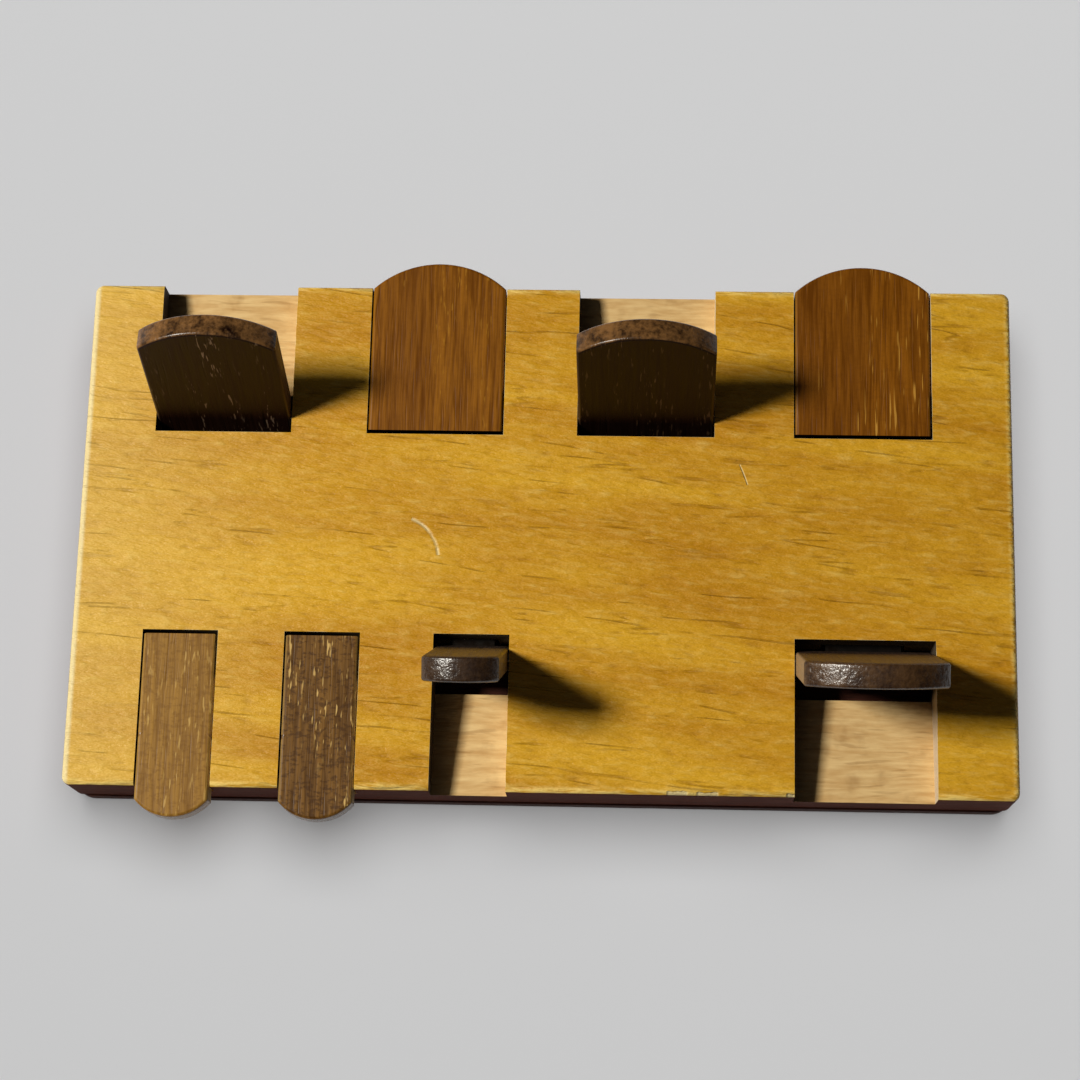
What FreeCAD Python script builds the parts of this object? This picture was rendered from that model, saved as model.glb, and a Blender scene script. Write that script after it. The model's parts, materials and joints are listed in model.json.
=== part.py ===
import FreeCAD, Part
import math
import os
import Sketcher

# Flip-up score marker: a wooden block with eight leaves on two hinge rods.
# Millimetres. +Z is up, +X runs along the block, +Y points to the row of four wide leaves.
# The origin is the middle of the underside. A leaf lies flat or stands at stand_angle,
# held both ways by a leaf spring that presses on its heel.

doc = FreeCAD.newDocument("score_marker")

driving_sizes = {
    "board_length": 100.0,
    "board_depth": 55.5,
    "board_thickness": 7.0,
    "base_thickness": 2.4,
    "base_overhang": 0.2,
    "base_corner_radius": 2.2,
    "base_rounding": 0.9,
    "corner_radius": 0.9,
    "top_rounding": 0.55,
    "recess_edge_depth": 3.05,
    "recess_inner_depth": 5.6,
    "recess_wall": 11.0,
    "wide_recess": 14.8,
    "narrow_recess": 8.05,
    "hinge_to_wall": 2.25,
    "axis_depth": 1.1,
    "rod_radius": 0.5,
    "rod_length": 94.5,
    "rod_inset": 0.4,
    "running_clearance": 0.05,
    "leaf_thickness": 2.6,
    "leaf_side_gap": 0.14,
    "back_leaf_reach": 17.3,
    "front_leaf_reach": 17.7,
    "wide_tip_rise": 2.9,
    "narrow_tip_rise": 1.8,
    "leaf_edge_rounding": 0.35,
    "stand_angle": 75.0,
    "heel_pocket": 5.6,
    "spring_gap": 0.05,
    "spring_thickness": 0.4,
    "wide_spring": 8.0,
    "narrow_spring": 4.6,
    "channel_clearance": 0.4,
    "spring_start": 3.4,
    "spring_past_axis": 2.2,
    "spring_tip_drop": 0.25,
    "spring_tip_run": 0.8,
    "channel_start": 2.6,
    "spring_screw_place": 5.6,
    "spring_screw_radius": 0.6,
    "spring_screw_head": 1.2,
    "spring_screw_head_height": 0.7,
    "spring_screw_bite": 1.5,
    "base_screw_radius": 0.8,
    "base_screw_head": 1.6,
    "base_screw_length": 5.6,
    "base_screw_inset": 6.0,
    "screw_slot_width": 0.35,
    "screw_slot_depth": 0.3,
}

# Each leaf: row, place along X, whether it is wide, and whether it stands.
leaves = {
    "back_1": {"row": 1, "centre": -34.95, "wide": True, "stands": True},
    "back_2": {"row": 1, "centre": -11.95, "wide": True, "stands": False},
    "back_3": {"row": 1, "centre": 10.8, "wide": True, "stands": True},
    "back_4": {"row": 1, "centre": 34.1, "wide": True, "stands": False},
    "front_1": {"row": -1, "centre": -38.3, "wide": False, "stands": False},
    "front_2": {"row": -1, "centre": -23.15, "wide": False, "stands": False},
    "front_3": {"row": -1, "centre": -7.3, "wide": False, "stands": True},
    "front_4": {"row": -1, "centre": 34.15, "wide": True, "stands": True},
}

sheet = doc.addObject("Spreadsheet::Sheet", "Sizes")
cells = dict(driving_sizes)
for leaf_name, leaf in leaves.items():
    cells[leaf_name + "_centre"] = leaf["centre"]
for row, (alias, number) in enumerate(cells.items(), start=1):
    sheet.set("A%d" % row, alias)
    sheet.set("B%d" % row, str(number))
    sheet.setAlias("B%d" % row, alias)
doc.recompute()


def size(formula):
    """Value of a formula over the sheet's cells."""
    return float(sheet.evalExpression(formula))


def bind(thing, prop, formula):
    """Bind a property to a formula over the sheet's cells."""
    full = formula
    for alias in sorted(cells, key=len, reverse=True):
        full = full.replace("<" + alias + ">", "Sizes." + alias)
    thing.setExpression(prop, full)


def number(formula):
    """Value of a formula whose cells are written in angle brackets."""
    return size(formula.replace("<", "").replace(">", ""))


def new_body(label):
    body = doc.addObject("PartDesign::Body", label)
    body.Label = label
    return body


def sketch_on(body, name, plane, height="0"):
    """A sketch on one of the body's own origin planes, moved along the plane's normal."""
    sketch = body.newObject("Sketcher::SketchObject", name)
    support = [f for f in body.Origin.OriginFeatures if f.Role == plane][0]
    sketch.AttachmentSupport = (support, [""])
    sketch.MapMode = "FlatFace"
    bind(sketch, "AttachmentOffset.Base.z", height)
    return sketch


def pin_point(sketch, index, place, point):
    """Fix one end of a sketch line at a point given by two formulas."""
    for kind, formula in (("DistanceX", point[0]), ("DistanceY", point[1])):
        rule = Sketcher.Constraint(kind, -1, 1, index, place, number(formula))
        which = sketch.addConstraint(rule)
        bind(sketch, "Constraints[%d]" % which, formula)


def add_polygon(sketch, points):
    """A closed outline of straight lines through points given as formulas."""
    first = sketch.GeometryCount
    spots = [FreeCAD.Vector(number(p[0]), number(p[1]), 0) for p in points]
    for k, spot in enumerate(spots):
        sketch.addGeometry(Part.LineSegment(spot, spots[(k + 1) % len(spots)]), False)
    for k, point in enumerate(points):
        following = first + (k + 1) % len(points)
        sketch.addConstraint(Sketcher.Constraint("Coincident", first + k, 2, following, 1))
        pin_point(sketch, first + k, 1, point)


def add_circle(sketch, centre, radius):
    """A circle whose centre and radius are formulas."""
    middle = FreeCAD.Vector(number(centre[0]), number(centre[1]), 0)
    index = sketch.GeometryCount
    sketch.addGeometry(Part.Circle(middle, FreeCAD.Vector(0, 0, 1), number(radius)), False)
    pin_point(sketch, index, 3, centre)
    which = sketch.addConstraint(Sketcher.Constraint("Radius", index, number(radius)))
    bind(sketch, "Constraints[%d]" % which, radius)


def pad(body, name, sketch, length, both_sides=False):
    feature = body.newObject("PartDesign::Pad", name)
    feature.Profile = sketch
    bind(feature, "Length", length)
    feature.Midplane = both_sides
    doc.recompute()
    return feature


def pocket(body, name, sketch, length, forward=False, both_sides=False):
    """A pocket that must take material away. Forward cuts along the sketch's normal."""
    before = body.Shape.Volume
    feature = body.newObject("PartDesign::Pocket", name)
    feature.Profile = sketch
    bind(feature, "Length", length)
    feature.Reversed = forward
    feature.Midplane = both_sides
    doc.recompute()
    if body.Shape.Volume > before - 0.01:
        raise RuntimeError(body.Label + " " + name + " cuts nothing")
    return feature


def dress(body, kind, name, chosen, prop, formula):
    """A fillet or chamfer on the edges of the body that the test picks."""
    base = body.Tip
    edges = ["Edge%d" % (k + 1) for k, edge in enumerate(base.Shape.Edges) if chosen(edge)]
    feature = body.newObject("PartDesign::" + kind, name)
    feature.Base = (base, edges)
    bind(feature, prop, formula)
    doc.recompute()
    return feature


def edge_span(edge):
    box = edge.BoundBox
    return box.XLength, box.YLength, box.ZLength


top = "(<base_thickness> + <board_thickness>)"
axis_height = "(" + top + " - <axis_depth>)"
axis_place = "(<recess_wall> + <hinge_to_wall>)"
roof_drop = "(<leaf_thickness> + <spring_gap>)"


def sided(row, formula):
    """The formula on the back row, its negative on the front row."""
    return formula if row > 0 else "-(" + formula + ")"


def width_cell(leaf, what):
    return ("<wide_" if leaf["wide"] else "<narrow_") + what + ">"


def rectangle(left, right, low, high):
    return [(left, low), (right, low), (right, high), (left, high)]


def slab(label, low, thickness, grow, vertical_radius):
    """A rounded-corner slab centred on the origin."""
    body = new_body(label)
    outline = sketch_on(body, label + "_outline", "XY_Plane", low)
    across = "(<board_length> / 2 + " + grow + ")"
    along = "(<board_depth> / 2 + " + grow + ")"
    add_polygon(outline, rectangle("-" + across, across, "-" + along, along))
    pad(body, label + "_block", outline, thickness)
    dress(body, "Fillet", label + "_corners", lambda e: edge_span(e)[2] > 1.0,
          "Radius", vertical_radius)
    return body


# Board: recesses from above, spring channels and heel pockets from below, rod bores from the end.
board = slab("board", "<base_thickness>", "<board_thickness>", "0", "<corner_radius>")
board_top = number(top)
dress(board, "Fillet", "board_top_rounding",
      lambda e: edge_span(e)[2] < 0.001 and abs(e.BoundBox.ZMax - board_top) < 0.001,
      "Radius", "<top_rounding>")

def recess_profile(row):
    """Side view of a recess: open above and outwards, its floor sloping down to the inner wall."""
    above = top + " + 1"
    outside = "<board_depth> / 2 + 2"
    floor_fall = "(<recess_inner_depth> - <recess_edge_depth>) / (<board_depth> / 2 - <recess_wall>)"
    outer_floor = top + " - <recess_edge_depth> + 2 * " + floor_fall
    return [
        (sided(row, "<recess_wall>"), top + " - <recess_inner_depth>"),
        (sided(row, outside), outer_floor), (sided(row, outside), above),
        (sided(row, "<recess_wall>"), above),
    ]


for leaf_name, leaf in leaves.items():
    profile = sketch_on(board, leaf_name + "_recess", "YZ_Plane", "<" + leaf_name + "_centre>")
    add_polygon(profile, recess_profile(leaf["row"]))
    pocket(board, leaf_name + "_recess_cut", profile, width_cell(leaf, "recess"), both_sides=True)

channels = sketch_on(board, "spring_channels", "XY_Plane", "<base_thickness>")
for leaf_name, leaf in leaves.items():
    middle = "<" + leaf_name + "_centre>"
    broad = width_cell(leaf, "recess") + " / 2"
    slim = "(" + width_cell(leaf, "spring") + " / 2 + <channel_clearance>)"
    start = sided(leaf["row"], "<channel_start>")
    wall = sided(leaf["row"], "<recess_wall>")
    end = sided(leaf["row"], "<recess_wall> + <heel_pocket>")
    add_polygon(channels, [
        (middle + " - " + slim, start), (middle + " + " + slim, start),
        (middle + " + " + slim, wall), (middle + " + " + broad, wall),
        (middle + " + " + broad, end), (middle + " - " + broad, end),
        (middle + " - " + broad, wall), (middle + " - " + slim, wall),
    ])
pocket(board, "channel_cut", channels, "<board_thickness> - " + roof_drop, forward=True)

bores = sketch_on(board, "rod_bores", "YZ_Plane", "-<board_length> / 2")
for row in (1, -1):
    add_circle(bores, (sided(row, axis_place), axis_height), "<rod_radius>")
pocket(board, "rod_bore_cut", bores, "<rod_length> + <rod_inset>", forward=True)

spring_pilots = sketch_on(board, "spring_screw_pilots", "XY_Plane", top + " - " + roof_drop)
for leaf_name, leaf in leaves.items():
    spot = ("<" + leaf_name + "_centre>", sided(leaf["row"], "<spring_screw_place>"))
    add_circle(spring_pilots, spot, "<spring_screw_radius>")
pocket(board, "spring_pilot_cut", spring_pilots, "<spring_screw_bite>", forward=True)

base_screw_spots = []
for side in ("", "-"):
    for edge in ("", "-"):
        across = side + "(<board_length> / 2 - <base_screw_inset> / 2)"
        along = edge + "(<board_depth> / 2 - <base_screw_inset> / 2)"
        base_screw_spots.append((across, along))
base_pilots = sketch_on(board, "base_screw_pilots", "XY_Plane", "<base_thickness>")
for spot in base_screw_spots:
    add_circle(base_pilots, spot, "<base_screw_radius>")
pocket(board, "base_pilot_cut", base_pilots, "<base_screw_length> - <base_thickness>", forward=True)

# Base plate: closes the channels from below, with four countersunk holes.
plate = slab("base_plate", "0", "<base_thickness>", "<base_overhang>", "<base_corner_radius>")
plate_holes = sketch_on(plate, "screw_holes", "XY_Plane", "0")
for spot in base_screw_spots:
    add_circle(plate_holes, spot, "<base_screw_radius>")
pocket(plate, "screw_hole_cut", plate_holes, "<base_thickness>", forward=True)
dress(plate, "Chamfer", "countersinks",
      lambda e: e.Curve.TypeId == "Part::GeomCircle" and e.Closed and e.BoundBox.ZMax < 0.001,
      "Size", "<base_screw_head> - <base_screw_radius>")
dress(plate, "Fillet", "plate_rounding",
      lambda e: edge_span(e)[2] < 0.001 and e.BoundBox.ZMax < 0.001
      and not (e.Curve.TypeId == "Part::GeomCircle" and e.Closed),
      "Radius", "<base_rounding>")


# Leaves: modelled lying flat with the hinge axis as the body's own X axis, then placed.
# The heel's end face slopes so that it lies flat on the spring when the leaf stands.
under = "(<leaf_thickness> - <axis_depth>)"
heel_top = "((" + under + " + cos(<stand_angle>) * <axis_depth>) / sin(<stand_angle>))"
heel_foot = "((" + under + " - cos(<stand_angle>) * " + under + ") / sin(<stand_angle>))"


def with_degrees(formula):
    return formula.replace("(<stand_angle>)", "(<stand_angle> * 1deg)")


heel_top = with_degrees(heel_top)
heel_foot = with_degrees(heel_foot)


def leaf_outline(sketch, half, reach, rise):
    """Plan of a leaf: straight sides from the heel and one arc as its tip."""
    left, right = "-(" + half + ")", half
    shoulder = reach + " - " + rise
    corners = [(left, "-" + heel_top), (right, "-" + heel_top), (right, shoulder), (left, shoulder)]
    spots = [FreeCAD.Vector(number(p[0]), number(p[1]), 0) for p in corners]
    tip = FreeCAD.Vector(0, number(reach), 0)
    sketch.addGeometry(Part.LineSegment(spots[0], spots[1]), False)
    sketch.addGeometry(Part.LineSegment(spots[1], spots[2]), False)
    sketch.addGeometry(Part.Arc(spots[2], tip, spots[3]), False)
    sketch.addGeometry(Part.LineSegment(spots[3], spots[0]), False)
    for before, after in ((0, 1), (3, 0)):
        sketch.addConstraint(Sketcher.Constraint("Coincident", before, 2, after, 1))
    pin_point(sketch, 0, 1, corners[0])
    pin_point(sketch, 0, 2, corners[1])
    pin_point(sketch, 1, 2, corners[2])
    pin_point(sketch, 3, 1, corners[3])
    sketch.addConstraint(Sketcher.Constraint("Coincident", 1, 2, 2, 1))
    sketch.addConstraint(Sketcher.Constraint("Coincident", 2, 2, 3, 1))
    radius = "((" + half + ") ^ 2 + " + rise + " ^ 2) / (2 * " + rise + ")"
    which = sketch.addConstraint(Sketcher.Constraint("Radius", 2, number(radius)))
    bind(sketch, "Constraints[%d]" % which, radius)


def make_leaf(leaf_name, leaf):
    row_name, place = leaf_name.split("_")
    body = new_body(row_name + "_flap_" + place)
    half = width_cell(leaf, "recess") + " / 2 - <leaf_side_gap>"
    reach = "<" + row_name + "_leaf_reach>"
    plan = sketch_on(body, body.Label + "_plan", "XY_Plane", "-" + under)
    leaf_outline(plan, half, reach, width_cell(leaf, "tip_rise"))
    pad(body, body.Label + "_blank", plan, "<leaf_thickness>")
    slope = sketch_on(body, body.Label + "_heel_slope", "YZ_Plane")
    add_polygon(slope, [
        ("-" + heel_top, "<axis_depth>"), ("-" + heel_foot, "-" + under),
        ("-" + heel_foot, "-" + under + " - 1"), ("-" + heel_top + " - 1", "-" + under + " - 1"),
        ("-" + heel_top + " - 1", "<axis_depth>"),
    ])
    pocket(body, body.Label + "_heel_cut", slope, "2 * <wide_recess>", both_sides=True)
    shoulder = number(reach + " - " + width_cell(leaf, "tip_rise"))
    long_way = number(reach) / 2
    dress(body, "Fillet", body.Label + "_rounding",
          lambda e: edge_span(e)[1] > long_way and edge_span(e)[2] < 0.001
          or e.BoundBox.YMin > shoulder - 0.01 and edge_span(e)[2] < 0.001,
          "Radius", "<leaf_edge_rounding>")
    eye = sketch_on(body, body.Label + "_eye", "YZ_Plane")
    add_circle(eye, ("0", "0"), "<rod_radius> + <running_clearance>")
    pocket(body, body.Label + "_eye_cut", eye, "2 * <wide_recess>", both_sides=True)
    turn = FreeCAD.Rotation(FreeCAD.Vector(0, 0, 1), 0 if leaf["row"] > 0 else 180)
    lift = FreeCAD.Rotation(FreeCAD.Vector(1, 0, 0), number("<stand_angle>") if leaf["stands"] else 0)
    spot = FreeCAD.Vector(number("<" + leaf_name + "_centre>"),
                          leaf["row"] * number(axis_place), number(axis_height))
    body.Placement = FreeCAD.Placement(spot, turn.multiply(lift))
    return body


def make_spring(leaf_name, leaf):
    """Flat steel strip with a turned-down tip and a screw hole, pointing outwards along its own Y."""
    row_name, place = leaf_name.split("_")
    body = new_body(row_name + "_spring_" + place)
    side = sketch_on(body, body.Label + "_side", "YZ_Plane")
    end = axis_place + " + <spring_past_axis>"
    bend = end + " - <spring_tip_run>"
    add_polygon(side, [
        ("<spring_start>", "-<spring_thickness>"), (bend, "-<spring_thickness>"),
        (end, "-<spring_thickness> - <spring_tip_drop>"), (end, "-<spring_tip_drop>"),
        (bend, "0"), ("<spring_start>", "0"),
    ])
    pad(body, body.Label + "_strip", side, width_cell(leaf, "spring"), both_sides=True)
    eye = sketch_on(body, body.Label + "_eye", "XY_Plane")
    add_circle(eye, ("0", "<spring_screw_place>"), "<spring_screw_radius>")
    pocket(body, body.Label + "_eye_cut", eye, "<spring_thickness>")
    turn = FreeCAD.Rotation(FreeCAD.Vector(0, 0, 1), 0 if leaf["row"] > 0 else 180)
    spot = FreeCAD.Vector(number("<" + leaf_name + "_centre>"), 0, number(top + " - " + roof_drop))
    body.Placement = FreeCAD.Placement(spot, turn)
    return body


def make_rod(label, row):
    rod = doc.addObject("Part::Cylinder", label)
    rod.Label = label
    bind(rod, "Radius", "<rod_radius>")
    bind(rod, "Height", "<rod_length>")
    spot = FreeCAD.Vector(number("<rod_inset> - <board_length> / 2"),
                          row * number(axis_place), number(axis_height))
    rod.Placement = FreeCAD.Placement(spot, FreeCAD.Rotation(FreeCAD.Vector(0, 1, 0), 90))
    return rod


def slotted(head, radius, low):
    """Cut a driver slot across a screw head whose open face is at height low."""
    width = number("<screw_slot_width>")
    depth = number("<screw_slot_depth>")
    corner = FreeCAD.Vector(-2 * radius, -width / 2, low)
    return head.cut(Part.makeBox(4 * radius, width, depth, corner))


def spring_screw():
    """Cheese-head screw with its head below and its shank up into the board."""
    radius = number("<spring_screw_head>")
    height = number("<spring_screw_head_height>")
    strip = number("<spring_thickness>")
    bite = number("<spring_screw_bite>")
    head = Part.makeCylinder(radius, height, FreeCAD.Vector(0, 0, -strip - height))
    shank = Part.makeCylinder(number("<spring_screw_radius>"), strip + bite,
                              FreeCAD.Vector(0, 0, -strip))
    return slotted(head.fuse(shank).removeSplitter(), radius, -strip - height)


def base_screw():
    """Countersunk screw with its head flush with the underside."""
    radius = number("<base_screw_head>")
    shank_radius = number("<base_screw_radius>")
    sink = radius - shank_radius
    head = Part.makeCone(radius, shank_radius, sink)
    shank = Part.makeCylinder(shank_radius, number("<base_screw_length>") - sink,
                              FreeCAD.Vector(0, 0, sink))
    return slotted(head.fuse(shank).removeSplitter(), radius, 0)


def screw_set(label, screw, spots):
    """One node of identical screws, each a separate solid."""
    copies = []
    for spot in spots:
        copy = screw.copy()
        copy.translate(spot)
        copies.append(copy)
    node = doc.addObject("Part::Feature", label)
    node.Label = label
    node.Shape = Part.makeCompound(copies)
    node.Placement = FreeCAD.Placement()
    return node


pieces = [board, plate]
for leaf_name, leaf in leaves.items():
    pieces.append(make_leaf(leaf_name, leaf))
for leaf_name, leaf in leaves.items():
    pieces.append(make_spring(leaf_name, leaf))
pieces.append(make_rod("back_hinge_rod", 1))
pieces.append(make_rod("front_hinge_rod", -1))

spring_spots = []
for leaf_name, leaf in leaves.items():
    spring_spots.append(FreeCAD.Vector(number("<" + leaf_name + "_centre>"),
                                       leaf["row"] * number("<spring_screw_place>"),
                                       number(top + " - " + roof_drop)))
pieces.append(screw_set("spring_screws", spring_screw(), spring_spots))
base_spots = [FreeCAD.Vector(number(x), number(y), 0) for x, y in base_screw_spots]
pieces.append(screw_set("base_screws", base_screw(), base_spots))

doc.recompute()

for thing in doc.Objects:
    if "Invalid" in thing.State or "Error" in thing.State:
        raise RuntimeError(thing.Label + " failed: " + str(thing.State))
for piece in pieces:
    if piece.Shape.isNull() or not piece.Shape.isValid():
        raise RuntimeError(piece.Label + " has no valid shape")

os.makedirs("parts", exist_ok=True)
for piece in pieces:
    piece.Shape.exportStep("parts/" + piece.Label + ".step")
    print(piece.Label, len(piece.Shape.Solids), round(piece.Shape.Volume, 2))
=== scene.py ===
import json
import math

import bmesh
import bpy
from mathutils import Euler, Matrix, Vector

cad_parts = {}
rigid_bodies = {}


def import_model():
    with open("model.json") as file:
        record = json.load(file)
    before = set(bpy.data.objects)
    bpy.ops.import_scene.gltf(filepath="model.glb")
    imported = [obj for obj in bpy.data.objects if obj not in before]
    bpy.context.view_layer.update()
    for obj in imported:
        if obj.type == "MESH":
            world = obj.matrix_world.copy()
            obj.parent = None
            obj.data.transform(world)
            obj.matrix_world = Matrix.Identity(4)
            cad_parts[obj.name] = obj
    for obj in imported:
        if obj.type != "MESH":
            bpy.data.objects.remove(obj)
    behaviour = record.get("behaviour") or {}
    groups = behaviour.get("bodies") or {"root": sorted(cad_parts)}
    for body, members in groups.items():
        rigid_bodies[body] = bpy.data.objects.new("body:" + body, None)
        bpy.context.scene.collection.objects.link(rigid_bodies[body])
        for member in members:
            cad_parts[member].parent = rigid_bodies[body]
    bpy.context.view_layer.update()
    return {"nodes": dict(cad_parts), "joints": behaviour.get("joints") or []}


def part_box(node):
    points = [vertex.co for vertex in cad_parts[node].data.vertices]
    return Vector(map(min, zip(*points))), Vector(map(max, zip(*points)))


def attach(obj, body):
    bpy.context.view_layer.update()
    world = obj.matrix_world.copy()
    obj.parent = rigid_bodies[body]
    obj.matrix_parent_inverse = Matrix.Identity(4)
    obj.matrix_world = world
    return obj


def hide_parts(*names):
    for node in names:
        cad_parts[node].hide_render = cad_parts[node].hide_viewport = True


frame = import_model()
boardLow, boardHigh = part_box("board")
print("frame loaded:", len(frame["nodes"]), "nodes")


def tone(red, green, blue):
    # a colour given as 0 to 255 screen values, turned linear
    shares = [c / 255.0 for c in (red, green, blue)]
    return tuple(s / 12.92 if s <= 0.04045 else ((s + 0.055) / 1.055) ** 2.4 for s in shares) + (1.0,)


def place(tree, kind, inputs=None, **settings):
    made = tree.nodes.new(kind)
    for key, value in settings.items():
        setattr(made, key, value)
    for key, value in (inputs or {}).items():
        if isinstance(value, bpy.types.NodeSocket):
            tree.links.new(value, made.inputs[key])
        else:
            made.inputs[key].default_value = value
    return made


def reckon(tree, operation, first, second=0.0, clamp=False):
    return place(tree, "ShaderNodeMath", {0: first, 1: second},
                 operation=operation, use_clamp=clamp).outputs[0]


def fade(tree, value, start, end):
    # 0 at start, 1 at end, with soft shoulders
    return place(tree, "ShaderNodeMapRange", {"Value": value, "From Min": start, "From Max": end},
                 interpolation_type="SMOOTHSTEP").outputs[0]


def tint(tree, factor, under, over, mode="MIX"):
    return place(tree, "ShaderNodeMix", {0: factor, 6: under, 7: over},
                 data_type="RGBA", blend_type=mode).outputs[2]


def startGroup(name, inputs, outputs):
    group = bpy.data.node_groups.new(name, "ShaderNodeTree")
    for socketName, kind, value in inputs:
        socket = group.interface.new_socket(name=socketName, in_out="INPUT", socket_type=kind)
        if value is not None:
            socket.default_value = value
    for socketName in outputs:
        group.interface.new_socket(name=socketName, in_out="OUTPUT", socket_type="NodeSocketFloat")
    return group, group.nodes.new("NodeGroupInput").outputs, group.nodes.new("NodeGroupOutput").inputs


def stretchedNoise(tree, spot, stretch, seed, detail=3.0, rough=0.55):
    scaled = place(tree, "ShaderNodeVectorMath", {0: spot, 1: stretch}, operation="MULTIPLY").outputs[0]
    return place(tree, "ShaderNodeTexNoise",
                 {"Vector": scaled, "W": seed, "Scale": 1.0, "Detail": detail, "Roughness": rough},
                 noise_dimensions="4D").outputs[0]


# Grain runs along the first axis of the vector it is given. Stretches are features per metre.
grainSizes = {
    "wander": (55.0, 140.0, 140.0),
    "broad": (26.0, 190.0, 190.0),
    "fibre": (210.0, 1700.0, 1700.0),
    "thread": (620.0, 4600.0, 4600.0),
    "pores": (420.0, 3600.0, 3600.0),
}


def buildGrainGroup():
    group, given, result = startGroup("woodGrain", [
        ("Vector", "NodeSocketVector", None), ("Seed", "NodeSocketFloat", 0.0),
        ("Wander", "NodeSocketFloat", 0.001), ("Scale", "NodeSocketVector", (1.0, 1.0, 1.0))],
        ["Broad", "Fibre", "Pores"])
    base = place(group, "ShaderNodeVectorMath", {0: given["Vector"], 1: given["Scale"]},
                 operation="MULTIPLY").outputs[0]
    drift = stretchedNoise(group, base, grainSizes["wander"], given["Seed"], 2.0)
    across = reckon(group, "MULTIPLY", reckon(group, "SUBTRACT", drift, 0.5), given["Wander"])
    shift = place(group, "ShaderNodeCombineXYZ", {"Y": across}).outputs[0]
    spot = place(group, "ShaderNodeVectorMath", {0: base, 1: shift}, operation="ADD").outputs[0]
    broad = stretchedNoise(group, spot, grainSizes["broad"], given["Seed"], 3.0)
    coarse = stretchedNoise(group, spot, grainSizes["fibre"], given["Seed"], 4.0, 0.6)
    thread = stretchedNoise(group, spot, grainSizes["thread"], given["Seed"], 2.0, 0.5)
    mixed = reckon(group, "ADD", reckon(group, "MULTIPLY", coarse, 0.6),
                   reckon(group, "MULTIPLY", thread, 0.4))
    pores = stretchedNoise(group, spot, grainSizes["pores"], given["Seed"], 1.0, 0.4)
    group.links.new(fade(group, broad, 0.3, 0.7), result["Broad"])
    group.links.new(fade(group, mixed, 0.32, 0.68), result["Fibre"])
    group.links.new(fade(group, pores, 0.6, 0.72), result["Pores"])
    return group


def buildScratchGroup():
    # a scratch along an arc about Centre: Aim points at its middle,
    # and Reach is the cosine of its half angle
    group, given, result = startGroup("scratch", [
        ("Vector", "NodeSocketVector", None), ("Centre", "NodeSocketVector", None),
        ("Aim", "NodeSocketVector", (1.0, 0.0, 0.0)), ("Radius", "NodeSocketFloat", 0.005),
        ("Reach", "NodeSocketFloat", 0.9), ("Width", "NodeSocketFloat", 0.0001)], ["Mask"])
    flat = place(group, "ShaderNodeVectorMath", {0: given["Vector"], 1: (1.0, 1.0, 0.0)},
                 operation="MULTIPLY").outputs[0]
    arm = place(group, "ShaderNodeVectorMath", {0: flat, 1: given["Centre"]},
                operation="SUBTRACT").outputs[0]
    length = place(group, "ShaderNodeVectorMath", {0: arm}, operation="LENGTH").outputs[1]
    unit = place(group, "ShaderNodeVectorMath", {0: arm}, operation="NORMALIZE").outputs[0]
    facing = place(group, "ShaderNodeVectorMath", {0: unit, 1: given["Aim"]},
                   operation="DOT_PRODUCT").outputs[1]
    off = reckon(group, "ABSOLUTE", reckon(group, "SUBTRACT", length, given["Radius"]))
    line = reckon(group, "SUBTRACT", 1.0, reckon(group, "DIVIDE", off, given["Width"]), clamp=True)
    inside = reckon(group, "GREATER_THAN", facing, given["Reach"])
    group.links.new(reckon(group, "MULTIPLY", line, inside), result["Mask"])
    return group


grainGroup = buildGrainGroup()
scratchGroup = buildScratchGroup()
print("shared node groups made")


def startMaterial(name):
    material = bpy.data.materials.new(name)
    material.use_nodes = True
    tree = material.node_tree
    tree.nodes.clear()
    shader = tree.nodes.new("ShaderNodeBsdfPrincipled")
    output = tree.nodes.new("ShaderNodeOutputMaterial")
    tree.links.new(shader.outputs[0], output.inputs[0])
    spot = tree.nodes.new("ShaderNodeTexCoord").outputs["Object"]
    return material, tree, shader, spot


def grainIn(tree, spot, turn, shift, seed, wander, scale=(1.0, 1.0, 1.0)):
    # the object's own place, turned so that the grain runs along the first axis
    turned = place(tree, "ShaderNodeMapping",
                   {"Vector": spot, "Location": shift, "Rotation": turn}).outputs[0]
    grain = tree.nodes.new("ShaderNodeGroup")
    grain.node_tree = grainGroup
    tree.links.new(turned, grain.inputs["Vector"])
    grain.inputs["Seed"].default_value = seed
    grain.inputs["Wander"].default_value = wander
    grain.inputs["Scale"].default_value = scale
    return turned, grain.outputs


def scratchIn(tree, spot, centre, aim, radius, halfAngle, width):
    made = tree.nodes.new("ShaderNodeGroup")
    made.node_tree = scratchGroup
    tree.links.new(spot, made.inputs["Vector"])
    made.inputs["Centre"].default_value = (centre[0], centre[1], 0.0)
    made.inputs["Aim"].default_value = (math.cos(aim), math.sin(aim), 0.0)
    made.inputs["Radius"].default_value = radius
    made.inputs["Reach"].default_value = math.cos(halfAngle)
    made.inputs["Width"].default_value = width
    return made.outputs[0]


def roughen(tree, shader, height, strength, distance):
    bump = place(tree, "ShaderNodeBump", {"Height": height, "Strength": strength, "Distance": distance})
    tree.links.new(bump.outputs[0], shader.inputs["Normal"])


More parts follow.
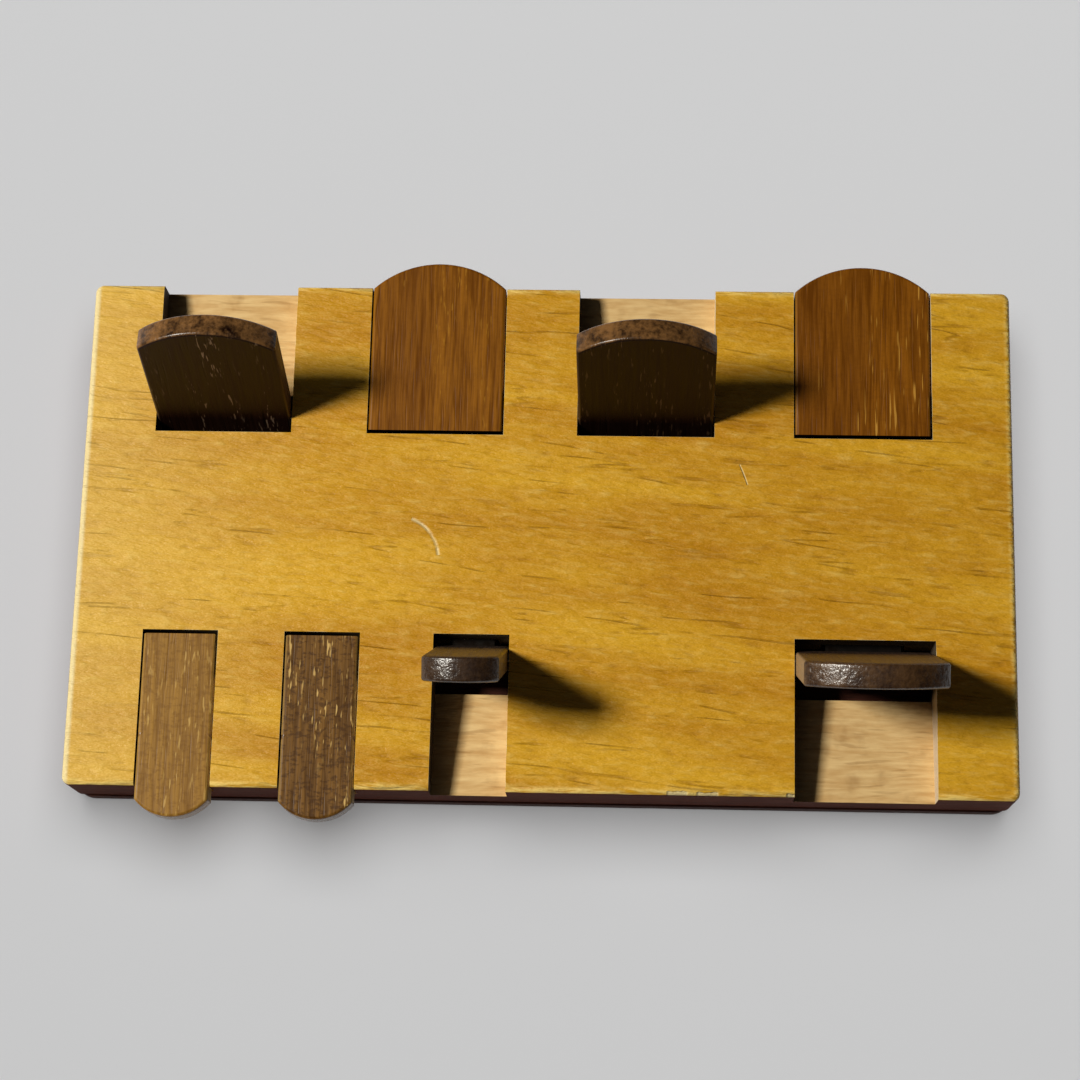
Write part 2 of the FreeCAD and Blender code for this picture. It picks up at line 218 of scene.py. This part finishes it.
boardLook = {
    # varnished top
    "deep": tone(198, 138, 18),
    "gold": tone(228, 174, 38),
    "pale": tone(250, 218, 124),
    "dash": tone(132, 80, 12),
    # pale wood, for the chips and scratches and for the painted highlights on the rims
    "paleChipAndHighlight": tone(240, 226, 176),
    "grainTurn": math.radians(5.0),
    "lineStretch": (30.0, 400.0, 400.0),
    "curlStretch": (400.0, 1500.0, 1500.0),
    "breakStretch": (190.0, 700.0, 700.0),
    # the pale rim: rubbed wear and a painted highlight on the rounded edge
    "rim": 0.0009,
    "rimEnd": 0.0002,
    # where the painted highlight along the left end begins and ends
    "litLeftRimFrom": 0.00085,
    "litLeftRimTo": 0.00045,
    # where the painted light towards the left end begins and ends
    "litEndFrom": -0.02,
    "litEndTo": 0.01,  # past the left end
    "roundOver": 0.00055,
    "chips": [(0.0134, 0.0158), (0.0165, 0.0190), (0.0258, 0.0269)],
    "chipFade": 0.0003,
    "chipFray": 0.0006,
    "chipFrom": 0.00072,
    "chipTo": 0.0006,
    # bare recesses
    "bare": tone(238, 204, 144),
    "bareDark": tone(208, 166, 106),
    # painted light on the right walls of the recesses
    "wall": tone(220, 210, 192),
    # a dark tone, used for the painted shade in the recesses and for the dark grain of the stained
    # sides
    "shadeAndDarkGrain": tone(20, 11, 7),
    # the depth below which the pocket is painted dark with shade
    "pocketDepth": 0.0052,
    "pocketFade": 0.0003,
    # the painted shadow along the foot of each left wall
    "hingeEnd": (0.0166, 0.0156),
    "wallShadowWidth": 0.0032,
    "wallShadowFoot": 0.0003,
    "wallShadowReach": 0.0005,  # past the wall, so that none of it stays unshaded
    # stained sides
    "stained": tone(106, 50, 30),
    "sideMargin": 0.001,
    # scratches in the top
    "curvedScratch": {"centre": (-0.01579, -0.00286), "aim": math.radians(37), "radius": 0.00467,
                      "halfAngle": math.radians(32), "width": 0.00026},
    "shortScratch": {"centre": (0.0027, -0.0003), "aim": math.radians(21), "radius": 0.02,
                     "halfAngle": math.radians(3.4), "width": 0.00012},
}


def varnishedTop():
    look = boardLook
    low, high = boardLow, boardHigh
    material, tree, shader, spot = startMaterial("varnishedTop")
    turned, grain = grainIn(tree, spot, (0, 0, look["grainTurn"]), (0, 0, 0), 2.0, 0.0022)
    axis = place(tree, "ShaderNodeSeparateXYZ", {0: spot}).outputs
    acrossX = reckon(tree, "ABSOLUTE", axis["X"])
    acrossY = reckon(tree, "ABSOLUTE", axis["Y"])

    # broad bands, curly flecks, fine fibres and scattered dark dashes, with painted light making the
    # top paler towards the left end
    top = tint(tree, grain["Broad"], look["deep"], look["gold"])
    curl = stretchedNoise(tree, turned, look["curlStretch"], 3.0, 4.0, 0.65)
    top = tint(tree, reckon(tree, "MULTIPLY", fade(tree, curl, 0.5, 0.75), 0.34), top, look["pale"])
    top = tint(tree, reckon(tree, "MULTIPLY", fade(tree, curl, 0.5, 0.25), 0.38), top, look["dash"])
    bright = reckon(tree, "MULTIPLY", fade(tree, grain["Fibre"], 0.5, 1.0), 0.14)
    top = tint(tree, bright, top, look["pale"])
    lines = stretchedNoise(tree, turned, look["lineStretch"], 5.0, 2.0, 0.6)
    broken = stretchedNoise(tree, turned, look["breakStretch"], 6.0, 2.0)
    ridge = fade(tree, reckon(tree, "ABSOLUTE", reckon(tree, "SUBTRACT", lines, 0.5)), 0.018, 0.0)
    dashes = reckon(tree, "MULTIPLY", ridge, fade(tree, broken, 0.46, 0.64))
    pores = reckon(tree, "MULTIPLY", grain["Pores"], fade(tree, broken, 0.54, 0.7))
    dashes = reckon(tree, "MAXIMUM", dashes, reckon(tree, "MULTIPLY", pores, 0.6))
    top = tint(tree, reckon(tree, "MULTIPLY", dashes, 0.42), top, look["dash"])
    # painted light: the top is painted paler towards the left end, which is nearest the key light
    litLeftEnd = fade(tree, axis["X"], look["litEndFrom"], low.x - look["litEndTo"])
    top = tint(tree, reckon(tree, "MULTIPLY", litLeftEnd, 0.38), top, look["pale"])

    # a pale rim round the top, broken by the grain, partly rubbed wear and partly a painted highlight
    # where the rounded edge catches the light, and a painted highlight brighter still along the left
    # end
    rimX = fade(tree, acrossX, high.x - look["rim"], high.x - look["rimEnd"])
    rimY = fade(tree, acrossY, high.y - look["rim"], high.y - look["rimEnd"])
    rim = reckon(tree, "MAXIMUM", rimX, rimY)
    rim = reckon(tree, "MULTIPLY", rim, fade(tree, grain["Fibre"], 0.1, 0.8))
    top = tint(tree, reckon(tree, "MULTIPLY", rim, 0.85), top, look["pale"])
    litLeftRim = fade(tree, axis["X"], low.x + look["litLeftRimFrom"], low.x + look["litLeftRimTo"])

    # scratches and the chips in the front edge, then the stain of the sides
    marks = scratchIn(tree, spot, **look["curvedScratch"])
    marks = reckon(tree, "MAXIMUM", marks, scratchIn(tree, spot, **look["shortScratch"]))
    frayed = stretchedNoise(tree, spot, (900.0, 900.0, 900.0), 12.0, 2.0)
    marks = reckon(tree, "MULTIPLY", marks, fade(tree, frayed, 0.2, 0.6))
    front = reckon(tree, "ADD", axis["Y"], reckon(tree, "MULTIPLY", frayed, look["chipFray"]))
    front = fade(tree, front, low.y + look["chipFrom"], low.y + look["chipTo"])
    for start, end in look["chips"]:
        within = reckon(tree, "MULTIPLY", fade(tree, axis["X"], start, start + look["chipFade"]),
                        fade(tree, axis["X"], end, end - look["chipFade"]))
        marks = reckon(tree, "MAXIMUM", marks, reckon(tree, "MULTIPLY", within, front))
    below = reckon(tree, "SUBTRACT", high.z, axis["Z"])
    edge = fade(tree, below, look["roundOver"] * 0.55, look["roundOver"] * 0.9)
    top = tint(tree, reckon(tree, "MULTIPLY", edge, 0.9), top, look["stained"])
    # painted highlight along the rounded left end, where the key light catches it
    top = tint(tree, reckon(tree, "MULTIPLY", litLeftRim, 0.7), top, look["paleChipAndHighlight"])
    top = tint(tree, reckon(tree, "MULTIPLY", marks, 0.7), top, look["paleChipAndHighlight"])

    tree.links.new(top, shader.inputs["Base Color"])
    dull = reckon(tree, "ADD", 0.36, reckon(tree, "MULTIPLY", grain["Fibre"], 0.22))
    tree.links.new(dull, shader.inputs["Roughness"])
    shader.inputs["Specular IOR Level"].default_value = 0.32
    raised = reckon(tree, "ADD", reckon(tree, "MULTIPLY", curl, 3.4),
                    reckon(tree, "MULTIPLY", grain["Fibre"], 0.4))
    sunk = reckon(tree, "MULTIPLY", reckon(tree, "ADD", marks, dashes), 0.9)
    height = reckon(tree, "SUBTRACT", raised, sunk)
    roughen(tree, shader, height, 0.85, 0.00012)
    return material


def bareRecess():
    look = boardLook
    material, tree, shader, spot = startMaterial("bareRecess")
    grain = grainIn(tree, spot, (0, 0, 0), (0, 0, 0), 4.0, 0.002, (0.7, 0.6, 0.6))[1]
    axis = place(tree, "ShaderNodeSeparateXYZ", {0: spot}).outputs
    normal = tree.nodes.new("ShaderNodeNewGeometry").outputs["Normal"]
    facing = place(tree, "ShaderNodeSeparateXYZ", {0: normal}).outputs
    bare = tint(tree, grain["Fibre"], look["bareDark"], look["bare"])
    bare = tint(tree, reckon(tree, "MULTIPLY", grain["Pores"], 0.3), bare, look["dash"])
    blots = stretchedNoise(tree, spot, (300.0, 300.0, 300.0), 9.0, 3.0)
    bare = tint(tree, reckon(tree, "MULTIPLY", fade(tree, blots, 0.52, 0.75), 0.4), bare, look["dash"])
    # painted shade: deep in the pocket under the hinge the wood is painted dark
    below = reckon(tree, "SUBTRACT", boardHigh.z, axis["Z"])
    pocketShade = fade(tree, below, look["pocketDepth"] - look["pocketFade"], look["pocketDepth"])
    bare = tint(tree, reckon(tree, "MULTIPLY", pocketShade, 0.95), bare, look["shadeAndDarkGrain"])
    # painted light and shade: the right walls, facing the key light, are painted paler, and the left
    # walls, facing away from it, and the ends next to the hinge are painted dark with shade
    rightWall = reckon(tree, "MULTIPLY", fade(tree, facing["X"], -0.4, -0.7), 0.6)
    bare = tint(tree, rightWall, bare, look["wall"])
    leftWall = fade(tree, facing["X"], 0.4, 0.7)
    inner = fade(tree, reckon(tree, "ABSOLUTE", axis["Y"]), *look["hingeEnd"])
    dark = reckon(tree, "MULTIPLY", reckon(tree, "MAXIMUM", inner, leftWall), 0.9)
    bare = tint(tree, dark, bare, look["shadeAndDarkGrain"])
    # and a painted shadow of each left wall lies along its foot on the floor
    for size in leafSizes.values():
        wall = size["left"]
        wallShadow = fade(tree, axis["X"], wall + look["wallShadowWidth"], wall + look["wallShadowFoot"])
        pastWall = reckon(tree, "GREATER_THAN", axis["X"], wall - look["wallShadowReach"])
        wallShadow = reckon(tree, "MULTIPLY", wallShadow, pastWall)
        rowSide = reckon(tree, "GREATER_THAN", reckon(tree, "MULTIPLY", axis["Y"], size["row"]), 0.0)
        wallShadow = reckon(tree, "MULTIPLY", reckon(tree, "MULTIPLY", wallShadow, rowSide), 0.6)
        bare = tint(tree, wallShadow, bare, look["shadeAndDarkGrain"])
    tree.links.new(bare, shader.inputs["Base Color"])
    shader.inputs["Roughness"].default_value = 0.75
    shader.inputs["Specular IOR Level"].default_value = 0.25
    roughen(tree, shader, grain["Fibre"], 0.6, 0.00007)
    return material


def stainedSide():
    look = boardLook
    material, tree, shader, spot = startMaterial("stainedSide")
    grain = grainIn(tree, spot, (0, 0, 0), (0, 0, 0), 6.0, 0.002)[1]
    stain = tint(tree, reckon(tree, "MULTIPLY", grain["Fibre"], 0.5), look["stained"], look["shadeAndDarkGrain"])
    tree.links.new(stain, shader.inputs["Base Color"])
    shader.inputs["Roughness"].default_value = 0.7
    shader.inputs["Specular IOR Level"].default_value = 0.06
    roughen(tree, shader, grain["Fibre"], 0.4, 0.00006)
    return material


def rimWearAndHighlight():
    look = boardLook
    material, tree, shader, spot = startMaterial("rimWearAndHighlight")
    # the eased recess rims are paler, partly rubbed wear and partly a painted highlight of the light
    # catching them
    breaks = stretchedNoise(tree, spot, (700.0, 700.0, 700.0), 8.0, 2.0)
    colour = tint(tree, fade(tree, breaks, 0.4, 0.6), look["gold"], look["paleChipAndHighlight"])
    tree.links.new(colour, shader.inputs["Base Color"])
    tree.links.new(fade(tree, breaks, 1.2, 0.1), shader.inputs["Roughness"])
    return material


def boardFace(face):
    # 0 varnished top and its rounded edge, 1 bare recess, 2 stained outer side, 3 eased recess rim
    centre = face.calc_center_median()
    below = boardHigh.z - centre.z
    margin = boardLook["sideMargin"]
    outside = abs(centre.x) > boardHigh.x - margin or abs(centre.y) > boardHigh.y - margin
    if abs(face.normal.z) < 0.35 and outside:
        return 2
    if 0.2 < face.normal.z < 0.98 and 0.0 < below < easing["board"] and not outside:
        return 3
    if below < boardLook["roundOver"] and face.normal.z > 0.3:
        return 0
    return 1


# lean gathers the pale flecks on one side, and streak is how many a metre holds along the grain
leafLooks = {
    "back_flap_1": {"dark": tone(20, 6, 2), "mid": tone(40, 17, 6), "pale": tone(160, 132, 108),
                    "tip": tone(146, 104, 60), "flecks": 0.6, "mottle": 0.1, "lean": 0.0,
                    "streak": 620.0, "rubAndHighlight": 0.25, "shine": 0.18, "seed": 11.0},
    "back_flap_2": {"dark": tone(92, 48, 0), "mid": tone(160, 100, 6), "pale": tone(196, 140, 40),
                    "tip": tone(110, 70, 34), "flecks": 0.3, "mottle": 0.1, "lean": 0.0,
                    "streak": 620.0, "rubAndHighlight": 0.25, "shine": 0.18, "seed": 12.0},
    "back_flap_3": {"dark": tone(18, 5, 1), "mid": tone(34, 13, 4), "pale": tone(124, 96, 70),
                    "tip": tone(136, 96, 54), "flecks": 0.35, "mottle": 0.1, "lean": 0.0,
                    "streak": 620.0, "rubAndHighlight": 0.25, "shine": 0.18, "seed": 13.0},
    "back_flap_4": {"dark": tone(92, 48, 0), "mid": tone(150, 90, 2), "pale": tone(216, 160, 66),
                    "tip": tone(104, 68, 32), "flecks": 0.7, "mottle": 0.15, "lean": -0.16,
                    "streak": 240.0, "rubAndHighlight": 0.25, "shine": 0.18, "seed": 14.0},
    "front_flap_1": {"dark": tone(118, 80, 28), "mid": tone(184, 138, 60), "pale": tone(222, 184, 106),
                     "tip": tone(150, 110, 60), "flecks": 0.5, "mottle": 0.45, "lean": 0.0,
                     "streak": 620.0, "rubAndHighlight": 0.3, "shine": 0.18, "seed": 15.0},
    "front_flap_2": {"dark": tone(72, 44, 12), "mid": tone(144, 102, 42), "pale": tone(224, 186, 112),
                     "tip": tone(120, 86, 50), "flecks": 0.85, "mottle": 0.75, "lean": 0.18,
                     "streak": 620.0, "rubAndHighlight": 0.35, "shine": 0.18, "seed": 16.0},
    "front_flap_3": {"dark": tone(36, 22, 14), "mid": tone(66, 44, 30), "pale": tone(140, 120, 100),
                     "tip": tone(70, 48, 26), "flecks": 0.2, "mottle": 0.1, "lean": 0.0,
                     "streak": 620.0, "rubAndHighlight": 0.45, "shine": 0.75, "seed": 17.0},
    "front_flap_4": {"dark": tone(44, 26, 14), "mid": tone(84, 56, 34), "pale": tone(160, 138, 112),
                     "tip": tone(92, 64, 34), "flecks": 0.2, "mottle": 0.1, "lean": 0.0,
                     "streak": 620.0, "rubAndHighlight": 0.8, "shine": 0.75, "seed": 18.0},
}
leafWear = {
    "edge": 0.00035,
    "standAngle": math.radians(75),
    "wander": 0.0012,
    "scale": (0.45, 1.1, 1.1),
    "mottleStretch": (2600.0, 1500.0, 1500.0),
    "clusterStretch": (60.0, 420.0, 420.0),
    "streakAcross": 4200.0,
    "speckSize": 2200.0,
    "cloudSize": 500.0,
    "tipFrom": 0.00012,  # how far inside the arc the end grain begins
    "tipTo": 0.00003,
}


def leafWood(node, joint):
    look = leafLooks[node]
    halfWidth, reach, arc = [leafSizes[node][key] for key in ("halfWidth", "reach", "arc")]
    pivot = Vector(joint["pos_m"])
    standing = joint["range_deg"][0] < 0
    turnRound = 0.0 if joint["axis"][0] > 0 else math.pi
    lift = leafWear["standAngle"] if standing else 0.0
    # from the row frame to the leaf's own frame, lying flat, with its length along the first axis
    toLeaf = (Euler((0, 0, turnRound)).to_matrix() @ Euler((lift, 0, 0)).to_matrix()).inverted()
    toLeaf = Matrix.Rotation(-math.pi / 2, 3, "Z") @ toLeaf
    shift = -(toLeaf @ pivot)
    material, tree, shader, spot = startMaterial("leafWood_" + node)
    turned, grain = grainIn(tree, spot, tuple(toLeaf.to_euler()), tuple(shift), look["seed"],
                            leafWear["wander"], leafWear["scale"])
    axis = place(tree, "ShaderNodeSeparateXYZ", {0: turned}).outputs

    colour = tint(tree, fade(tree, grain["Fibre"], -0.35, 1.25), look["dark"], look["mid"])
    colour = tint(tree, reckon(tree, "MULTIPLY", grain["Broad"], 0.45), colour, look["dark"])
    mottle = stretchedNoise(tree, turned, leafWear["mottleStretch"], look["seed"] + 1.0, 3.0, 0.6)
    mottled = reckon(tree, "MULTIPLY", fade(tree, mottle, 0.48, 0.62), look["mottle"])
    colour = tint(tree, mottled, colour, look["dark"])
    stretch = (look["streak"], leafWear["streakAcross"], leafWear["streakAcross"])
    streaks = stretchedNoise(tree, turned, stretch, look["seed"] + 3.0, 1.5, 0.5)
    clusters = stretchedNoise(tree, turned, leafWear["clusterStretch"], look["seed"] + 5.0, 1.0)
    side = reckon(tree, "MULTIPLY", axis["Y"], look["lean"] / halfWidth)
    clusters = reckon(tree, "ADD", clusters, side)
    flecks = reckon(tree, "MULTIPLY", fade(tree, streaks, 0.6, 0.68), fade(tree, clusters, 0.47, 0.6))
    colour = tint(tree, reckon(tree, "MULTIPLY", flecks, look["flecks"]), colour, look["pale"])
    colour = tint(tree, reckon(tree, "MULTIPLY", grain["Pores"], 0.45), colour, look["dark"])

    # long edges paled, partly rubbed wear and partly a painted highlight where the light catches them,
    # and a glossier, speckled tip
    # painted highlight and wear: the long edges are painted paler
    edge = fade(tree, reckon(tree, "ABSOLUTE", axis["Y"]), halfWidth - leafWear["edge"], halfWidth)
    colour = tint(tree, reckon(tree, "MULTIPLY", edge, look["rubAndHighlight"]), colour, look["pale"])
    fromArc = place(tree, "ShaderNodeCombineXYZ",
                    {"X": reckon(tree, "SUBTRACT", axis["X"], reach - arc), "Y": axis["Y"]}).outputs[0]
    radial = place(tree, "ShaderNodeVectorMath", {0: fromArc}, operation="LENGTH").outputs[1]
    end = fade(tree, radial, arc - leafWear["tipFrom"], arc - leafWear["tipTo"])
    end = reckon(tree, "MULTIPLY", end, reckon(tree, "GREATER_THAN", axis["X"], reach / 2))
    specks = stretchedNoise(tree, turned, (leafWear["speckSize"],) * 3, look["seed"] + 7.0, 3.0, 0.6)
    cloudy = stretchedNoise(tree, turned, (leafWear["cloudSize"],) * 3, look["seed"] + 8.0, 2.0)
    shade = reckon(tree, "MULTIPLY", reckon(tree, "ADD", specks, cloudy), 0.5)
    ending = tint(tree, fade(tree, shade, 0.3, 0.66), look["dark"], look["tip"])
    colour = tint(tree, reckon(tree, "MULTIPLY", end, 0.85), colour, ending)

    tree.links.new(colour, shader.inputs["Base Color"])
    dull = reckon(tree, "ADD", 0.36, reckon(tree, "MULTIPLY", grain["Fibre"], 0.2))
    dull = reckon(tree, "SUBTRACT", dull, reckon(tree, "MULTIPLY", end, 0.2))
    tree.links.new(dull, shader.inputs["Roughness"])
    tree.links.new(reckon(tree, "MULTIPLY", end, 0.45), shader.inputs["Coat Weight"])
    shader.inputs["Coat Roughness"].default_value = 0.28
    shader.inputs["Specular IOR Level"].default_value = look["shine"]
    height = reckon(tree, "SUBTRACT", reckon(tree, "MULTIPLY", grain["Fibre"], 0.7), grain["Pores"])
    height = reckon(tree, "MULTIPLY", height, reckon(tree, "SUBTRACT", 1.0, end))
    sparkle = reckon(tree, "MULTIPLY", reckon(tree, "MULTIPLY", specks, end), 5.0)
    height = reckon(tree, "ADD", height, sparkle)
    roughen(tree, shader, height, 0.4, 0.00005)
    return material


baseLook = {"dark": tone(56, 27, 20), "mid": tone(88, 48, 34), "pore": tone(30, 16, 14), "seed": 31.0}


def baseWood():
    material, tree, shader, spot = startMaterial("baseWood")
    grain = grainIn(tree, spot, (0, 0, 0), (0, 0, 0), baseLook["seed"], 0.003)[1]
    colour = tint(tree, grain["Fibre"], baseLook["dark"], baseLook["mid"])
    colour = tint(tree, reckon(tree, "MULTIPLY", grain["Broad"], 0.4), colour, baseLook["dark"])
    colour = tint(tree, reckon(tree, "MULTIPLY", grain["Pores"], 0.5), colour, baseLook["pore"])
    tree.links.new(colour, shader.inputs["Base Color"])
    dull = reckon(tree, "ADD", 0.55, reckon(tree, "MULTIPLY", grain["Fibre"], 0.2))
    tree.links.new(dull, shader.inputs["Roughness"])
    shader.inputs["Specular IOR Level"].default_value = 0.15
    roughen(tree, shader, grain["Fibre"], 0.5, 0.00005)
    return material


metalLooks = {
    "springSteel": {"clean": tone(34, 31, 29), "stain": tone(24, 18, 14),
                    "gloss": 0.45, "along": (200.0, 4000.0, 4000.0)},
    "hingeSteel": {"clean": tone(150, 148, 142), "stain": tone(96, 74, 52),
                   "gloss": 0.32, "along": (150.0, 5000.0, 5000.0)},
    "screwBrass": {"clean": tone(190, 152, 84), "stain": tone(98, 76, 44),
                   "gloss": 0.34, "along": (3000.0, 3000.0, 3000.0)},
}


def tarnishedMetal(name):
    look = metalLooks[name]
    material, tree, shader, spot = startMaterial(name)
    lines = stretchedNoise(tree, spot, look["along"], 3.0, 3.0, 0.6)
    blotches = stretchedNoise(tree, spot, (500.0, 500.0, 500.0), 7.0, 3.0, 0.6)
    colour = tint(tree, fade(tree, blotches, 0.45, 0.7), look["clean"], look["stain"])
    tree.links.new(colour, shader.inputs["Base Color"])
    shader.inputs["Metallic"].default_value = 1.0
    rusty = reckon(tree, "MULTIPLY", fade(tree, blotches, 0.4, 0.7), 0.25)
    dull = reckon(tree, "ADD", look["gloss"], rusty)
    tree.links.new(dull, shader.inputs["Roughness"])
    roughen(tree, shader, lines, 0.3, 0.00002)
    return material


# Wooden pieces are finished copies of the frame's own nodes, with every sharp edge eased.
easing = {"board": 0.00010, "base_plate": 0.00015, "leaf": 0.00010}
sharpFrom = math.radians(38)
smoothBelow = math.radians(30)
flatFrom = 4e-5  # faces larger than this, in square metres, are shaded flat
mergeWithin = 2e-6
levelWithin = math.radians(0.5)


def easedCopy(node, name, ease, chooseFace=None):
    mesh = bpy.data.meshes.new(name)
    bm = bmesh.new()
    bm.from_mesh(frame["nodes"][node].data)
    bmesh.ops.remove_doubles(bm, verts=bm.verts, dist=mergeWithin)
    bmesh.ops.dissolve_limit(bm, angle_limit=levelWithin, verts=bm.verts, edges=bm.edges)
    sharp = [e for e in bm.edges if e.is_manifold and e.calc_face_angle(0.0) > sharpFrom]
    bmesh.ops.bevel(bm, geom=sharp, offset=ease, offset_type="OFFSET", affect="EDGES",
                    segments=2, profile=0.5, material=-1, clamp_overlap=True)
    bm.normal_update()
    for face in bm.faces:
        face.smooth = face.calc_area() < flatFrom
        if chooseFace:
            face.material_index = chooseFace(face)
    for edge in bm.edges:
        edge.smooth = edge.calc_face_angle(0.0) < smoothBelow
    bm.to_mesh(mesh)
    bm.free()
    piece = bpy.data.objects.new(name, mesh)
    bpy.context.scene.collection.objects.link(piece)
    return piece


def finishPiece(piece, materials, body, node):
    for material in materials:
        piece.data.materials.append(material)
    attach(piece, body)
    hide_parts(node)


# how far each arched tip rises above its corners, and the top face above the hinge
tipShape = {"wideRise": 0.0029, "narrowRise": 0.0018, "wideFrom": 0.005, "faceAboveHinge": 0.0011}
leafSizes = {}
for joint in frame["joints"]:
    node = joint["child"]
    low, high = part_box(node)
    halfWidth = (high.x - low.x) / 2
    alongY = max(abs(low.y - joint["pos_m"][1]), abs(high.y - joint["pos_m"][1]))
    upwards = high.z - joint["pos_m"][2]
    rise = tipShape["wideRise"] if halfWidth > tipShape["wideFrom"] else tipShape["narrowRise"]
    # a standing leaf's reach comes from its height, less what its top face adds
    reach = alongY
    if joint["range_deg"][0] < 0:
        angle = leafWear["standAngle"]
        reach = (upwards - tipShape["faceAboveHinge"] * math.cos(angle)) / math.sin(angle)
    leafSizes[node] = {"halfWidth": halfWidth, "reach": reach,
                       "arc": (halfWidth ** 2 + rise ** 2) / (2 * rise),
                       "left": low.x, "row": math.copysign(1.0, joint["pos_m"][1])}

boardBlock = easedCopy("board", "boardBlock", easing["board"], boardFace)
boardMaterials = [varnishedTop(), bareRecess(), stainedSide(), rimWearAndHighlight()]
finishPiece(boardBlock, boardMaterials, "root", "board")
print("board finished")
basePlate = easedCopy("base_plate", "basePlate", easing["base_plate"])
finishPiece(basePlate, [baseWood()], "root", "base_plate")
print("base plate finished")
for joint in frame["joints"]:
    node = joint["child"]
    row, _, number = node.split("_")
    leaf = easedCopy(node, row + "Leaf" + number, easing["leaf"])
    finishPiece(leaf, [leafWood(node, joint)], node, node)
print("leaves finished")

springSteel = tarnishedMetal("springSteel")
hingeSteel = tarnishedMetal("hingeSteel")
screwBrass = tarnishedMetal("screwBrass")
for name, thing in frame["nodes"].items():
    metal = None
    if "spring" in name:
        metal = springSteel
    elif "rod" in name:
        metal = hingeSteel
    elif name == "base_screws":
        metal = screwBrass
    if metal:
        thing.data.materials.clear()
        thing.data.materials.append(metal)
print("metal parts finished")


# Floor, light and camera
stage = {"floorSize": 4.0, "floorTone": tone(226, 226, 226)}


def buildFloor():
    bm = bmesh.new()
    bmesh.ops.create_grid(bm, x_segments=1, y_segments=1, size=stage["floorSize"] / 2)
    mesh = bpy.data.meshes.new("floor")
    bm.to_mesh(mesh)
    bm.free()
    floor = bpy.data.objects.new("floor", mesh)
    bpy.context.scene.collection.objects.link(floor)
    material, tree, shader, spot = startMaterial("paleFloor")
    shader.inputs["Base Color"].default_value = stage["floorTone"]
    shader.inputs["Roughness"].default_value = 0.9
    mesh.materials.append(material)


# The key light and the top light fall on the marker. The floor has a wide light of its own,
# and a second one that the marker does not block, so that its shadow stays pale.
lights = {
    "key": {"from": (-0.37, 0.024, 0.466), "power": 3.6, "size": 0.11,
            "tone": (1.0, 0.96, 0.87), "on": "marker"},
    "top": {"from": (0.05, -0.1, 0.8), "power": 0.12, "size": 0.7,
            "tone": (0.97, 0.97, 1.0), "on": "marker"},
    "wide": {"from": (0.0, 0.22, 0.9), "power": 5.7, "size": 0.95,
             "tone": (1.0, 1.0, 1.0), "on": "ground"},
    "lift": {"from": (0.0, 0.22, 0.9), "power": 3.35, "size": 0.95,
             "tone": (1.0, 1.0, 1.0), "on": "ground"},
}
sky = {"tone": (0.93, 0.96, 1.0, 1.0), "strength": 0.015}


def buildLights():
    lit = {"marker": bpy.data.collections.new("marker"), "ground": bpy.data.collections.new("ground")}
    for thing in bpy.context.scene.objects:
        if thing.type == "MESH":
            lit["ground" if thing.name == "floor" else "marker"].objects.link(thing)
    for name, light in lights.items():
        data = bpy.data.lights.new(name, "AREA")
        data.energy = light["power"]
        data.size = light["size"]
        data.color = light["tone"]
        lamp = bpy.data.objects.new(name, data)
        lamp.location = light["from"]
        lamp.rotation_euler = (-Vector(light["from"])).to_track_quat("-Z", "Y").to_euler()
        lamp.light_linking.receiver_collection = lit[light["on"]]
        if name == "lift":
            lamp.light_linking.blocker_collection = lit["ground"]
        bpy.context.scene.collection.objects.link(lamp)
    world = bpy.data.worlds.new("studio")
    world.use_nodes = True
    background = world.node_tree.nodes["Background"]
    background.inputs["Color"].default_value = sky["tone"]
    background.inputs["Strength"].default_value = sky["strength"]
    bpy.context.scene.world = world


eye = {"place": (0.011396, -0.066101, 0.268753), "turn": (0.248, 0.039, 0.024), "lens": 83.7}


def buildCamera():
    data = bpy.data.cameras.new("camera")
    data.lens = eye["lens"]
    data.sensor_width = 36.0
    data.clip_start = 0.01
    camera = bpy.data.objects.new("camera", data)
    camera.location = eye["place"]
    camera.rotation_euler = eye["turn"]
    bpy.context.scene.collection.objects.link(camera)
    bpy.context.scene.camera = camera


buildFloor()
buildLights()
buildCamera()
bpy.context.scene.view_settings.view_transform = "Standard"
print("stage, lights and camera set")
